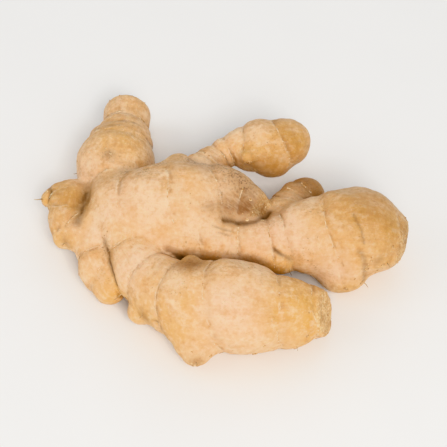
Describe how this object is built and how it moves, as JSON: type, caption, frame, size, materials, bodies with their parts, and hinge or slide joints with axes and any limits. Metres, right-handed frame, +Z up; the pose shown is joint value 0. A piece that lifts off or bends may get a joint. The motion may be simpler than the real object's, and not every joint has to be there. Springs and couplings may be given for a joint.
{
  "type": "ginger root",
  "caption": "Hand of fresh ginger: one branched rhizome with swollen fingers, knobs, buds, node rings and broken ends, lying flat.",
  "frame": {"origin": "on the table, under the middle of the hand's box", "axes": "+Z up from the table, +X along the lowest finger, +Y to the back"},
  "size_m": [0.1575, 0.1413, 0.0443],
  "materials": {
    "ginger_skin": "thin papery tan skin with yellow and pink tints, matte with a faint sheen"
  },
  "bodies": {
    "root": {"rhizome": "ginger_skin"}
  },
  "joints": []
}
